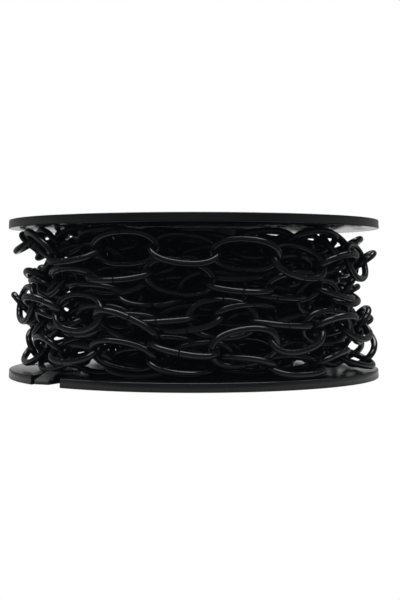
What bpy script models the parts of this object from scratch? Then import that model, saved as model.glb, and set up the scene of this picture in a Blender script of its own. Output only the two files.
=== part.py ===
# A reel of decorative chain: two flat flanges and a barrel, wound with oval wire links, and the strap
# that ties the end of the chain through a notch in the lower flange.
# Metres, +Z up. The origin is on the floor under the middle of the reel, and the front is at -Y.
import bpy
import bmesh
import math
import numpy as np
from mathutils import Matrix, Vector

MM = 0.001
GAP = 0.3 * MM

# Reel
REEL_HEIGHT = 98.6 * MM
FLANGE_RADIUS = 117.5 * MM
FLANGE_THICKNESS = 5.4 * MM
FLANGE_EDGE = 0.6 * MM
RECESS_DEPTH = 1.8 * MM
RECESS_INNER_RADIUS = 30 * MM
RECESS_OUTER_RADIUS = 106 * MM
SPINDLE_RADIUS = 16 * MM
BARREL_RADIUS = 41 * MM
BARREL_WALL = 3 * MM
REEL_SIDES = 64
TIE_HOLE_RADIUS = 4.5 * MM
TIE_HOLE_ORBIT = 105 * MM
TIE_HOLE_BEARINGS = (82, -98)

# Catch notch in the rim of the lower flange
NOTCH_WIDTH = 27 * MM
NOTCH_BEARING = -47
NOTCH_SLANT = 11
NOTCH_DEPTH = 21 * MM
NOTCH_CORNER = 4 * MM
NOTCH_FLARE = 4 * MM

# Tie strap, which lies on the flange, slopes down through the notch and folds back under the flange
STRAP_WIDTH = 9.5 * MM
STRAP_THICKNESS = 1.2 * MM
STRAP_BEARING = -50
STRAP_SLANT = 25
STRAP_TOP_REACH = 33 * MM
STRAP_EDGE_REACH = 15.5 * MM
STRAP_FOLD_REACH = 4.5 * MM
STRAP_FOLD_RADIUS = 0.85 * MM
STRAP_FOLD_STEPS = 8
STRAP_UNDER_REACH = 40 * MM
STRAP_MARGIN = 8 * MM

# Chain
WIRE = 4.1 * MM
LINK_LENGTH = 41.6 * MM
LINK_WIDTH = 25.6 * MM
LINK_CORNERS = 8
LINK_BULGE = 2.3
SEAT = 1.0 * MM
PITCH = LINK_LENGTH - 2 * WIRE + SEAT
LINKS_PER_STRAND = 62
STRANDS = 3
STRAND_SLACK = 1.2 * MM
CORE_RADIUS = 56 * MM

# The second layer of chain, which shows between the outer links. It winds upwards from its start to its
# stop, each a height, a radius and a twist.
SECOND_LAYER_TURNS = 5
SECOND_LAYER_LINKS = 60
SECOND_LAYER_START = (16, 68, 45)
SECOND_LAYER_STOP = (82, 68, 45)

# The rows of links across the front, from under the top flange down to the lower one. Each row has the
# joints between its links, as a bearing in degrees, a height and a radius in millimetres and the twist of
# the link that follows, then the number of links that lead round the back to the next row, and their height
# at the back. Every other link is turned a further 90 degrees.
ROWS = (
    (((18, 80, 92, 44), (38, 84, 96, 50)), 13, 84),
    (
        (
            (-65, 86, 107, 135),
            (-48, 76, 109, 100),
            (-31, 78, 107, 126),
            (-12, 80, 105, 139),
            (7, 77, 105, 129),
            (25, 74, 107, 150),
            (42, 69, 109, 151),
            (59, 72, 108, 145),
        ),
        13,
        69,
    ),
    (
        (
            (-50, 61, 101, 160),
            (-33, 64, 105, 102),
            (-15, 66, 99, 120),
            (5, 60, 97, 122),
            (24, 57, 102, 127),
            (43, 58, 104, 109),
            (61, 52, 104, 110),
        ),
        12,
        57,
    ),
    (
        (
            (-43, 55, 100, 151),
            (-25, 54, 95, 129),
            (-4, 53, 90, 116),
            (18, 53, 92, 124),
            (37, 53, 100, 124),
        ),
        15,
        46,
    ),
    (((-20, 38, 99, 105), (0, 40, 97, 92), (20, 38, 98, 118), (39, 36, 102, 118)), 14, 34),
    (
        (
            (-63, 46, 109, 168),
            (-46, 44, 110, 162),
            (-29, 41, 110, 153),
            (-12, 28, 107, 106),
            (6, 22, 107, 98),
            (23, 27, 110, 126),
            (40, 34, 111, 152),
            (57, 35, 110, 150),
        ),
        12,
        23,
    ),
    (
        (
            (-68, 17, 100, 209),
            (-50, 20, 104, 217),
            (-32, 21, 104, 219),
            (-14, 17, 98, 214),
            (6, 14, 97, 243),
            (25, 12, 101, 225),
            (43, 12, 104, 241),
            (61, 15, 100, 240),
        ),
        12,
        11,
    ),
)
CHAIN_END = (-80, 12, 84, 240)

# How the links push each other apart, and the space they leave to the reel and between strands
SETTLING_STEPS = 400
NEIGHBOUR_STEPS = 10
PITCH_ROUNDS = 12
STRAND_SPACE = 1.0 * MM
STRAND_FORCE = 3.0
REEL_SPACE = 0.5 * MM
CORE_SPACE = 1.5 * MM
REEL_FORCE = 2.0
PUSH = 1.3
TURNING_REACH = 10 * MM
HOOK_PLAY = math.radians(38)
PARALLEL = 0.000001
LEAST_DISTANCE = 0.003 * MM
DECIMALS = 8

# How firmly the joints keep their place while they are pushed, to the side, in depth and in height
SEEN_HOLD = (0.12, 0.015, 0.12)
SEEN_TWIST_HOLD = 0.06
HIDDEN_HOLD = 0.004
FREE_FROM_STEP = 280
LETTING_GO = 0.97


def remove_everything():
    for item in list(bpy.data.objects):
        bpy.data.objects.remove(item, do_unlink=True)


def new_collection(name):
    collection = bpy.data.collections.new(name)
    bpy.context.scene.collection.children.link(collection)
    return collection


def material(name, colour, roughness, metallic):
    result = bpy.data.materials.new(name)
    result.use_nodes = True
    shader = result.node_tree.nodes["Principled BSDF"]
    shader.inputs["Base Color"].default_value = (*colour, 1)
    shader.inputs["Roughness"].default_value = roughness
    shader.inputs["Metallic"].default_value = metallic
    result.diffuse_color = (*colour, 1)
    return result


def reel_plastic():
    return material("black_moulded_plastic", (0.012, 0.012, 0.013), 0.3, 0)


def chain_coating():
    return material("black_coated_steel_wire", (0.008, 0.008, 0.009), 0.35, 0)


def strapping():
    return material("black_polypropylene_strapping", (0.03, 0.03, 0.032), 0.6, 0)


def place(mesh, name, collection, finish=None):
    item = bpy.data.objects.new(name, mesh)
    collection.objects.link(item)
    if finish:
        mesh.materials.append(finish)
    return item


def turned(name, outline, collection, finish=None):
    # The outline runs down the outer side first, as radius and height.
    mesh = bpy.data.meshes.new(name)
    points = [(radius, 0, height) for radius, height in outline]
    edges = [(i, (i + 1) % len(points)) for i in range(len(points))]
    mesh.from_pydata(points, edges, [])
    item = place(mesh, name, collection, finish)
    screw = item.modifiers.new("turn", "SCREW")
    screw.steps = REEL_SIDES
    screw.render_steps = REEL_SIDES
    screw.use_merge_vertices = True
    screw.merge_threshold = 0.00001
    screw.use_smooth_shade = True
    return item


def cutter(item):
    item.hide_render = True
    item.display_type = "WIRE"
    return item


def cut(item, tool):
    boolean = item.modifiers.new("cut " + tool.name, "BOOLEAN")
    boolean.operation = "DIFFERENCE"
    boolean.solver = "EXACT"
    boolean.object = tool


def on_bearing(bearing, radius, height=0.0):
    # Bearings are degrees to the right of the front.
    angle = math.radians(bearing)
    return Vector((radius * math.sin(angle), -radius * math.cos(angle), height))


def tie_hole(name, bearing, height, cutters):
    bpy.ops.mesh.primitive_cylinder_add(
        vertices=16,
        radius=TIE_HOLE_RADIUS,
        depth=3 * FLANGE_THICKNESS,
        location=on_bearing(bearing, TIE_HOLE_ORBIT, height),
    )
    item = bpy.context.active_object
    item.name = name
    for other in list(item.users_collection):
        other.objects.unlink(item)
    cutters.objects.link(item)
    return cutter(item)


def flange_outline(recessed):
    half = FLANGE_THICKNESS / 2
    outline = [
        (FLANGE_RADIUS - FLANGE_EDGE, half),
        (FLANGE_RADIUS, half - FLANGE_EDGE),
        (FLANGE_RADIUS, FLANGE_EDGE - half),
        (FLANGE_RADIUS - FLANGE_EDGE, -half),
    ]
    if recessed:
        outline += [
            (RECESS_OUTER_RADIUS, -half),
            (RECESS_OUTER_RADIUS - RECESS_DEPTH, RECESS_DEPTH - half),
            (RECESS_INNER_RADIUS + RECESS_DEPTH, RECESS_DEPTH - half),
            (RECESS_INNER_RADIUS, -half),
        ]
    outline += [(SPINDLE_RADIUS, -half), (SPINDLE_RADIUS, half)]
    return outline


def flange(name, height, hole_bearing, parts, cutters, finish, recessed):
    item = turned(name, flange_outline(recessed), parts, finish)
    item.location.z = height
    cut(item, tie_hole(name + "_tie_hole", hole_bearing, height, cutters))
    return item


def notch_tool(height, cutters):
    # A flat outline with rounded inner corners, drawn with its mouth towards +X and turned onto its bearing.
    # The wall beside the strap flares outwards to its inner end.
    half = NOTCH_WIDTH / 2
    outline = [(-NOTCH_DEPTH, half - NOTCH_CORNER), (NOTCH_CORNER - NOTCH_DEPTH, half), (NOTCH_DEPTH, half)]
    outline += [(x, -y + NOTCH_FLARE * x / NOTCH_DEPTH) for x, y in reversed(outline)]
    mesh = bpy.data.meshes.new("notch")
    shape = bmesh.new()
    floor = shape.faces.new([shape.verts.new((x, y, -FLANGE_THICKNESS)) for x, y in reversed(outline)])
    raised = bmesh.ops.extrude_face_region(shape, geom=[floor])
    top = [corner for corner in raised["geom"] if isinstance(corner, bmesh.types.BMVert)]
    bmesh.ops.translate(shape, verts=top, vec=(0, 0, 2 * FLANGE_THICKNESS))
    bmesh.ops.recalc_face_normals(shape, faces=shape.faces)
    shape.to_mesh(mesh)
    shape.free()
    item = place(mesh, "notch", cutters)
    item.location = on_bearing(NOTCH_BEARING, FLANGE_RADIUS, height)
    item.rotation_euler.z = math.radians(NOTCH_BEARING - 90 + NOTCH_SLANT)
    return cutter(item)


def strap_direction():
    # The way out of the notch along the strap, seen from above.
    angle = math.radians(STRAP_BEARING - 90 + STRAP_SLANT)
    return math.cos(angle), math.sin(angle)


def strap_path():
    # Distance in from the rim and height, along the middle of the strap.
    upper = FLANGE_THICKNESS + GAP + STRAP_THICKNESS / 2
    under = GAP + STRAP_THICKNESS / 2
    path = [(STRAP_TOP_REACH, upper), (STRAP_EDGE_REACH, upper)]
    for step in range(STRAP_FOLD_STEPS + 1):
        angle = math.pi * step / STRAP_FOLD_STEPS
        reach = STRAP_FOLD_REACH - STRAP_FOLD_RADIUS * math.sin(angle)
        path.append((reach, under + STRAP_FOLD_RADIUS * (1 + math.cos(angle))))
    path.append((STRAP_UNDER_REACH, under))
    return path


def tie_strap(parts, finish):
    mesh = bpy.data.meshes.new("tie_strap")
    half = STRAP_WIDTH / 2
    path = strap_path()
    points = [(-reach, side, height) for reach, height in path for side in (half, -half)]
    faces = [(2 * i, 2 * i + 1, 2 * i + 3, 2 * i + 2) for i in range(len(path) - 1)]
    mesh.from_pydata(points, [], faces)
    item = place(mesh, "tie_strap", parts, finish)
    item.rotation_euler.z = math.radians(STRAP_BEARING - 90 + STRAP_SLANT)
    item.location = on_bearing(STRAP_BEARING, FLANGE_RADIUS)
    thick = item.modifiers.new("thickness", "SOLIDIFY")
    thick.thickness = STRAP_THICKNESS
    thick.offset = 0
    thick.use_even_offset = True
    return item


def ring_outline(inner, outer, bottom, top):
    return [(outer, top), (outer, bottom), (inner, bottom), (inner, top)]


def link_corners():
    # The middle of the wire, as an oval of straight runs with one square across each end and along each side.
    corners = []
    size = math.cos(math.pi / LINK_CORNERS) ** (2 / LINK_BULGE)
    for number in range(LINK_CORNERS):
        angle = 2 * math.pi * (number + 0.5) / LINK_CORNERS
        x = math.copysign(abs(math.cos(angle)) ** (2 / LINK_BULGE), math.cos(angle)) / size
        y = math.copysign(abs(math.sin(angle)) ** (2 / LINK_BULGE), math.sin(angle)) / size
        corners.append(((LINK_LENGTH - WIRE) / 2 * x, (LINK_WIDTH - WIRE) / 2 * y, 0))
    return corners


def chain_way():
    # Every joint of the chain before it settles, as bearing, height, radius and the twist of the link that
    # follows, and whether it was read across the front.
    way = []
    seen = []
    first = np.array(ROWS[0][0][0], float)
    start = np.array([first[0] - 360 * SECOND_LAYER_TURNS, *SECOND_LAYER_START])
    stop = np.array([first[0], *SECOND_LAYER_STOP])
    for number in range(SECOND_LAYER_LINKS):
        way.append(start + (stop - start) * number / SECOND_LAYER_LINKS)
        seen.append(False)
    ends = [row[0][0] for row in ROWS[1:]] + [CHAIN_END]
    for (stations, behind, back_height), end in zip(ROWS, ends):
        for station in stations[:-1]:
            way.append(np.array(station, float))
            seen.append(True)
        last = np.array(stations[-1], float)
        following = np.array(end) + (360, 0, 0, 0)
        bow = np.array([0, back_height - (last[1] + following[1]) / 2, 0, 0])
        for number in range(behind):
            share = number / behind
            way.append(last + (following - last) * share + bow * math.sin(math.pi * share))
            seen.append(number == 0)
    way.append(following)
    seen.append(False)
    return np.array(way), np.array(seen)


def link_frames(joints, twists):
    # Each link's middle, and its directions along the chain, across the link and square to it.
    along = joints[1:] - joints[:-1]
    along /= np.linalg.norm(along, axis=1)[:, None]
    middle = joints[1:] - along * PITCH / 2
    outward = middle * (1, 1, 0)
    outward -= along * (outward * along).sum(axis=1)[:, None]
    outward /= np.linalg.norm(outward, axis=1)[:, None]
    sideways = np.cross(along, outward)
    across = outward * np.cos(twists)[:, None] + sideways * np.sin(twists)[:, None]
    return middle, along, across, np.cross(along, across)


def nearest_shares(first, first_run, second, second_run):
    # How far along each of two straight runs of wire their nearest points are.
    apart = first - second
    a = (first_run * first_run).sum(axis=-1)
    b = (first_run * second_run).sum(axis=-1)
    c = (first_run * apart).sum(axis=-1)
    e = (second_run * second_run).sum(axis=-1)
    f = (second_run * apart).sum(axis=-1)
    square = a * e - b * b
    parallel = square < PARALLEL * a * e
    on_first = np.clip(np.where(parallel, 0, (b * f - c * e) / np.where(parallel, 1, square)), 0, 1)
    on_second = np.clip((b * on_first + f) / e, 0, 1)
    on_first = np.clip((b * on_second - c) / a, 0, 1)
    return on_first, on_second


def wire_contacts(points, pairs, space):
    # Where the wires of two links come too near, as pushes on both of them.
    corners = np.array(link_corners())[:, :2]
    runs = np.roll(points, -1, axis=1) - points
    corner_runs = np.roll(corners, -1, axis=0) - corners
    first, second = pairs
    a, a_run = points[first][:, :, None], runs[first][:, :, None]
    b, b_run = points[second][:, None], runs[second][:, None]
    on_a, on_b = nearest_shares(a, a_run, b, b_run)
    gap = a + a_run * on_a[..., None] - b - b_run * on_b[..., None]
    distance = np.linalg.norm(gap, axis=-1)
    pair, i, j = np.nonzero(distance < WIRE + space[:, None, None])
    distance = distance[pair, i, j]
    direction = gap[pair, i, j] / np.maximum(distance, LEAST_DISTANCE)[:, None]
    on_first = corners[i] + corner_runs[i] * on_a[pair, i, j][:, None]
    on_second = corners[j] + corner_runs[j] * on_b[pair, i, j][:, None]
    amount = (WIRE + space[pair] - distance) / 2
    force = np.where(space[pair] > 0, STRAND_FORCE, 1)
    return [
        (first[pair], direction, on_first, amount, force),
        (second[pair], -direction, on_second, amount, force),
    ]


def floor_under(points):
    # The height that the chain lies on: the lower flange, and the strap where it runs over the flange.
    along = np.array(strap_direction())
    from_rim = points[:, :2] - np.array(on_bearing(STRAP_BEARING, FLANGE_RADIUS))[:2]
    reach = -(from_rim * along).sum(axis=1)
    side = from_rim[:, 0] * along[1] - from_rim[:, 1] * along[0]
    on_strap = (np.abs(side) < STRAP_WIDTH / 2 + STRAP_MARGIN) & (reach < STRAP_TOP_REACH + STRAP_MARGIN)
    return FLANGE_THICKNESS + np.where(on_strap, GAP + STRAP_THICKNESS, 0)


def reel_contacts(points):
    # Where a link's wire comes too near the flanges, the strap, the edge of the reel or the core.
    corners = np.array(link_corners())[:, :2]
    owner, corner = np.indices(points.shape[:2]).reshape(2, -1)
    flat = points.reshape(-1, 3)
    radius = np.hypot(flat[:, 0], flat[:, 1])
    outward = flat * (1, 1, 0) / radius[:, None]
    upward = np.zeros_like(flat) + (0, 0, 1)
    half = WIRE / 2
    limits = (
        (floor_under(flat) + half + REEL_SPACE - flat[:, 2], upward),
        (flat[:, 2] - REEL_HEIGHT + FLANGE_THICKNESS + half + REEL_SPACE, -upward),
        (radius - FLANGE_RADIUS + half, -outward),
        (CORE_RADIUS + CORE_SPACE + half - radius, outward),
    )
    contacts = []
    for amount, direction in limits:
        near = amount > 0
        force = np.full(near.sum(), REEL_FORCE)
        contacts.append((owner[near], direction[near], corners[corner[near]], amount[near], force))
    return contacts


def pushed(joints, twists, normals, contacts):
    # Each push moves the joints at both ends of its link and turns the link about its length.
    links, direction, spot, amount, force = (np.concatenate(column) for column in zip(*contacts))
    share = np.clip(spot[:, 0] / PITCH + 0.5, 0, 1)
    lever = spot[:, 1] * (normals[links] * direction).sum(axis=1)
    turning = lever / TURNING_REACH ** 2
    scale = amount * force / (share ** 2 + (1 - share) ** 2 + lever * turning)
    shift = np.zeros_like(joints)
    weight = np.zeros(len(joints))
    turn = np.zeros_like(twists)
    turn_weight = np.zeros(len(twists))
    np.add.at(shift, links, direction * ((1 - share) * scale)[:, None])
    np.add.at(shift, links + 1, direction * (share * scale)[:, None])
    np.add.at(weight, links, force)
    np.add.at(weight, links + 1, force)
    np.add.at(turn, links, turning * scale)
    np.add.at(turn_weight, links, force)
    joints = joints + PUSH * shift / np.maximum(weight, 1)[:, None]
    twists = twists + PUSH * turn / np.maximum(turn_weight, 1)
    return joints, twists


def square_to_each_other(twists):
    # Links that hook each other stay roughly square, within the play of the hook.
    bend = twists[1:] - twists[:-1]
    square = (np.round(bend / math.pi - 0.5) + 0.5) * math.pi
    over = bend - square - np.clip(bend - square, -HOOK_PLAY, HOOK_PLAY)
    twists = twists.copy()
    twists[1:] -= over / 2
    twists[:-1] += over / 2
    return twists


def pulled_to_pitch(joints, lengths):
    # Every other link is set to its length, then the ones between, a few times over.
    joints = joints.copy()
    for start in (0, 1) * PITCH_ROUNDS:
        line = joints[start + 1::2] - joints[start:-1:2]
        size = np.linalg.norm(line, axis=1)
        half = line * ((size - lengths[start::2]) / size / 2)[:, None]
        joints[start:-1:2] += half
        joints[start + 1::2] -= half
    return joints


def settled_chain():
    # The links start on the way that was read and push each other apart until they lie side by side.
    way, seen = chain_way()
    joints = np.array([on_bearing(spot[0], spot[2] * MM, spot[1] * MM) for spot in way])
    count = len(way) - 1
    numbers = np.arange(count)
    twists = np.radians(way[:-1, 3] + numbers % 2 * 90)
    strand = numbers // LINKS_PER_STRAND
    lengths = np.full(count, PITCH)
    lengths[LINKS_PER_STRAND::LINKS_PER_STRAND] -= SEAT + STRAND_SLACK
    first, second = np.triu_indices(count, 1)
    free = (second - first > 1) | (strand[first] != strand[second])
    first, second = first[free], second[free]
    home = joints
    home_twists = twists
    hold = np.where(seen[:, None], SEEN_HOLD, HIDDEN_HOLD)
    twist_hold = np.where(seen[:-1] & seen[1:], SEEN_TWIST_HOLD, HIDDEN_HOLD)
    corners = np.array(link_corners())
    for step in range(SETTLING_STEPS):
        middle, along, across, normal = link_frames(joints, twists)
        if step % NEIGHBOUR_STEPS == 0:
            near = np.linalg.norm(middle[first] - middle[second], axis=1) < LINK_LENGTH + 2 * WIRE
            pairs = first[near], second[near]
            space = np.where(strand[pairs[0]] != strand[pairs[1]], STRAND_SPACE, 0)
        points = middle[:, None] + along[:, None] * corners[:, :1] + across[:, None] * corners[:, 1:2]
        contacts = wire_contacts(points, pairs, space) + reel_contacts(points)
        joints, twists = pushed(joints, twists, normal, contacts)
        joints = joints + (home - joints) * hold
        twists = square_to_each_other(twists + (home_twists - twists) * twist_hold)
        joints = np.round(pulled_to_pitch(joints, lengths), DECIMALS)
        twists = np.round(twists, DECIMALS)
        if step > FREE_FROM_STEP:
            hold = hold * LETTING_GO
            twist_hold = twist_hold * LETTING_GO
    return joints, twists


def link_places():
    # X runs along the chain, Y across the link and Z square to it.
    joints, twists = settled_chain()
    places = []
    for middle, *directions in zip(*link_frames(joints, twists)):
        turn = Matrix([Vector(direction) for direction in directions]).transposed()
        places.append(Matrix.Translation(Vector(middle)) @ turn.to_4x4())
    return places


def link_mesh():
    wire = bpy.data.curves.new("link", "CURVE")
    wire.dimensions = "3D"
    wire.bevel_depth = WIRE / 2
    wire.bevel_resolution = 1
    spline = wire.splines.new("POLY")
    spline.points.add(LINK_CORNERS - 1)
    spline.use_cyclic_u = True
    for point, corner in zip(spline.points, link_corners()):
        point.co = (*corner, 1)
        point.tilt = math.pi / 2
    item = bpy.data.objects.new("link", wire)
    bpy.context.scene.collection.objects.link(item)
    view = bpy.context.evaluated_depsgraph_get()
    mesh = bpy.data.meshes.new_from_object(item.evaluated_get(view))
    bpy.data.objects.remove(item)
    return mesh


def chain_strand(name, places, mesh, parts, finish):
    # The first link takes in the others, so that links that hang on each other are one solid.
    others = new_collection(name + "_links")
    items = []
    for number, spot in enumerate(places):
        item = bpy.data.objects.new(name, mesh.copy())
        item.matrix_world = spot
        items.append(item)
    first = items[0]
    first.name = name
    first.data.materials.append(finish)
    parts.objects.link(first)
    for item in items[1:]:
        item.name = name + "_link"
        others.objects.link(cutter(item))
    union = first.modifiers.new("links", "BOOLEAN")
    union.operation = "UNION"
    union.solver = "EXACT"
    union.operand_type = "COLLECTION"
    union.collection = others
    return first


def build():
    remove_everything()
    parts = new_collection("chain_reel")
    cutters = new_collection("cutters")
    plastic = reel_plastic()
    coating = chain_coating()
    low = FLANGE_THICKNESS / 2
    high = REEL_HEIGHT - low
    flange("top_flange", high, TIE_HOLE_BEARINGS[0], parts, cutters, plastic, False)
    lower = flange("bottom_flange", low, TIE_HOLE_BEARINGS[1], parts, cutters, plastic, True)
    cut(lower, notch_tool(low, cutters))
    bottom = FLANGE_THICKNESS + GAP
    top = REEL_HEIGHT - FLANGE_THICKNESS - GAP
    turned("barrel", ring_outline(BARREL_RADIUS - BARREL_WALL, BARREL_RADIUS, bottom, top), parts, plastic)
    turned("inner_chain", ring_outline(BARREL_RADIUS + GAP, CORE_RADIUS, bottom, top), parts, coating)
    tie_strap(parts, strapping())
    mesh = link_mesh()
    places = link_places()
    for number in range(STRANDS):
        strand = places[number * LINKS_PER_STRAND:(number + 1) * LINKS_PER_STRAND]
        chain_strand(f"chain_strand_{number + 1}", strand, mesh, parts, coating)


build()
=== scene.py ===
# %% [markdown]
# A reel of decorative chain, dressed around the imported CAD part
#
# The real thing is a flat moulded reel, two round plates on a hollow barrel, wound with a loose
# black chain of oval wire links. This script keeps the solid model's frame and puts finer pieces in
# the same places: round wire with a butt seam in every link, turned plates with softened edges, and
# materials worked from the real finishes.

import math
import random

import bmesh
import bpy
import numpy as np
from mathutils import Matrix, Vector


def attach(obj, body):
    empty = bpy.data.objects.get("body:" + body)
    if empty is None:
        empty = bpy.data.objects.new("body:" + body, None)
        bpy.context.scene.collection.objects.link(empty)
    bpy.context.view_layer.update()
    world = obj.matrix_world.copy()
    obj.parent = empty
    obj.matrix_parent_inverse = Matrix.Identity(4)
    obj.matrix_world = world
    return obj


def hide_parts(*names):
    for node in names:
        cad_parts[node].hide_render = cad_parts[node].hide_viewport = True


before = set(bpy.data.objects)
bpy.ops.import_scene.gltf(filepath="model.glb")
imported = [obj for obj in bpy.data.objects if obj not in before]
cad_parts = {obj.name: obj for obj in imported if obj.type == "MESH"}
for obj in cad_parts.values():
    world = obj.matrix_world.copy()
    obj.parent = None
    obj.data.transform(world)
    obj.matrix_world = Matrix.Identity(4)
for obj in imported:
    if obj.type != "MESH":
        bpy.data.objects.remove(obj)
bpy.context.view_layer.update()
print("CAD nodes:", ", ".join(sorted(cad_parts)))

# %% [markdown]
# Everything is in metres, so a millimetre is a handy unit to multiply by. The sizes below repeat
# the ones in the solid model, because this script can't read that file.

# %% Sizes of the reel
MM = 0.001
GAP = 0.3 * MM
REEL_HEIGHT = 98.6 * MM
PLATE_RADIUS = 117.5 * MM
PLATE_THICKNESS = 5.4 * MM
PLATE_EDGE = 0.6 * MM
SPINDLE_RADIUS = 16 * MM
print("reel", round(2 * PLATE_RADIUS / MM, 1), "mm across and", round(REEL_HEIGHT / MM, 1), "mm high")


# %% [markdown]
# Places round the reel are easiest to give as a bearing, in degrees to the right of the front,
# with a distance from the axis and a height. The front of the reel looks towards -Y.

# %% From a bearing to a point
def on_bearing(bearing, radius, height=0.0):
    angle = math.radians(bearing)
    return Vector((radius * math.sin(angle), -radius * math.cos(angle), height))


print("front edge of a plate:", [round(v, 4) for v in on_bearing(0, PLATE_RADIUS)])


# %% [markdown]
# A screen colour is not the amount of light that a surface returns. Base colours are written as
# sRGB hex, the way a paint chart gives them, and this one function turns them to linear values.

# %% Colours
def linear(hex_colour):
    def channel(start):
        value = int(hex_colour[start:start + 2], 16) / 255
        return value / 12.92 if value <= 0.04045 else ((value + 0.055) / 1.055) ** 2.4

    return (channel(1), channel(3), channel(5), 1.0)


print("mid grey is", round(linear("#808080")[0], 3))


# %% [markdown]
# A material is a small tree of nodes. This one helper adds a node of any kind, sets its options,
# its sockets and the stops of a colour ramp, and links outputs into it. A link given as a node means
# that node's first output. RANGE has the sockets of a node that stretches one range to another.

# %% One node at a time
RANGE = ("From Min", "From Max", "To Min", "To Max")


def add_node(tree, kind, options=None, values=None, links=None, stops=()):
    node = tree.nodes.new("ShaderNode" + kind)
    for name, value in (options or {}).items():
        setattr(node, name, value)
    for name, value in (values or {}).items():
        node.inputs[name].default_value = value
    for name, source in (links or {}).items():
        tree.links.new(getattr(source, "outputs", [source])[0], node.inputs[name])
    for position, colour in stops[1:-1]:
        node.color_ramp.elements.new(position)
    for number, (position, colour) in enumerate(stops):
        node.color_ramp.elements[number].position = position
        node.color_ramp.elements[number].color = colour
    return node


def empty_material(name):
    material = bpy.data.materials.new(name)
    material.use_nodes = True
    material.node_tree.nodes.clear()
    return material, material.node_tree


print("a range has", len(RANGE), "sockets")


# %% [markdown]
# Plastic, powder coat and strapping are all dielectrics: they mirror a little of the room in white
# and scatter the rest in their own colour. So each finish is put together alike. One pattern mixes
# its colours, one sets how rough it is, and one or more bumps lie on top of each other.

# %% Putting a finish together
def finish_surface(tree, ior, colour, roughness, bumps):
    pattern, *stops = colour
    stops = [(position, linear(tone)) for position, tone in stops]
    tone = add_node(tree, "ValToRGB", links={"Fac": pattern}, stops=stops)
    pattern, *limits = roughness
    gloss = add_node(tree, "MapRange", values=dict(zip(RANGE, limits)), links={"Value": pattern})
    normal = {}
    for height, strength, distance in bumps:
        values = {"Strength": strength, "Distance": distance}
        normal = {"Normal": add_node(tree, "Bump", values=values, links={"Height": height, **normal})}
    links = {"Base Color": tone, "Roughness": gloss, **normal}
    shader = add_node(tree, "BsdfPrincipled", values={"IOR": ior, "Metallic": 0.0}, links=links)
    add_node(tree, "OutputMaterial", links={"Surface": shader})


print("a finish has tone, gloss and bumps")

# %% [markdown]
# The reel is black high-impact polystyrene, injection moulded in a polished tool. Such a surface
# is smooth and fairly glossy: nearly black face on, and a pale mirror of the room at a glancing
# angle. Up close it has a faint waviness from cooling, a few millimetres long, a little dust and
# fine handling scuffs. Those are really some hundredths of a millimetre wide, and are drawn ten
# times coarser so that they show at all.

# %% Moulded polystyrene
POLYSTYRENE_IOR = 1.59
WAVE_LENGTH = 9 * MM
WAVE_HEIGHT = 0.02 * MM
SCUFF_WIDTH = 0.5 * MM
SCUFF_DEPTH = 0.005 * MM
SCUFF_STRETCH = (0.12, 0.12, 1)
DUST_GRAIN = 1.6 * MM


def moulded_polystyrene():
    # Gives deep black with soft broad reflections that brighten strongly towards the edges.
    material, tree = empty_material("black_moulded_polystyrene")
    place = add_node(tree, "TexCoord").outputs["Object"]
    mapping = add_node(tree, "Mapping", values={"Scale": SCUFF_STRETCH}, links={"Vector": place})
    waves, scuffs, dust = (
        add_node(
            tree,
            "TexNoise",
            values={"Scale": 1 / size, "Detail": detail, "Roughness": harshness},
            links={"Vector": source},
        )
        for size, detail, harshness, source in (
            (WAVE_LENGTH, 2, 0.5, place),
            (SCUFF_WIDTH, 3, 0.7, mapping),
            (DUST_GRAIN, 5, 0.8, place),
        )
    )
    finish_surface(
        tree,
        POLYSTYRENE_IOR,
        colour=(dust, (0.5, "#08090a"), (0.8, "#0e0f10")),
        roughness=(scuffs, 0.35, 0.7, 0.16, 0.2),
        bumps=((waves, 0.2, WAVE_HEIGHT), (scuffs, 0.2, SCUFF_DEPTH)),
    )
    return material


plastic = moulded_polystyrene()
print("reel finish:", plastic.name, "with", len(plastic.node_tree.nodes), "nodes")

# %% [markdown]
# The chain is mild steel wire, bent and butted into links and then powder coated satin black. The
# coat hides the metal, so the surface is a dielectric, with a fine orange peel of about a
# millimetre. Where links hang in each other the coat is rubbed and a little paler. Each link's mesh
# carries a number for how rubbed it is there, and the material reads it.

# %% Powder-coated wire
POWDER_COAT_IOR = 1.5
PEEL_SIZE = 1.1 * MM
PEEL_HEIGHT = 0.03 * MM
PATCH_SIZE = 14 * MM


def powder_coated_wire():
    # Gives near-black wire with thin pale lines of light along it, and dull crowns where links rub.
    material, tree = empty_material("satin_black_powder_coat")
    place = add_node(tree, "TexCoord").outputs["Object"]
    rubbed = add_node(tree, "Attribute", {"attribute_name": "rubbed"}).outputs["Fac"]
    peel, patches = (
        add_node(tree, "TexNoise", values={"Scale": 1 / size, "Detail": detail}, links={"Vector": place})
        for size, detail in ((PEEL_SIZE, 3), (PATCH_SIZE, 2))
    )
    wear = add_node(tree, "Math", {"operation": "MULTIPLY"}, links={0: rubbed, 1: peel})
    finish_surface(
        tree,
        POWDER_COAT_IOR,
        colour=(wear, (0.15, "#0f1113"), (0.75, "#242527")),
        roughness=(patches, 0.3, 0.7, 0.15, 0.22),
        bumps=((peel, 0.3, PEEL_HEIGHT),),
    )
    return material


coating = powder_coated_wire()
print("chain finish:", coating.name, "with", len(coating.node_tree.nodes), "nodes")

# %% [markdown]
# The tie that holds the free end is a flat band of black polypropylene strapping. It is extruded
# and rolled with a fine crossed embossing about a millimetre apart, which makes it look dull and
# much greyer than the glossy plate it lies on. Two wave textures across each other draw it.

# %% Embossed strapping
POLYPROPYLENE_IOR = 1.49
EMBOSS_PITCH = 1.2 * MM
EMBOSS_HEIGHT = 0.12 * MM
BANDS_AT_SCALE_TAU = 20
CLOUD_SIZE = 4 * MM


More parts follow.
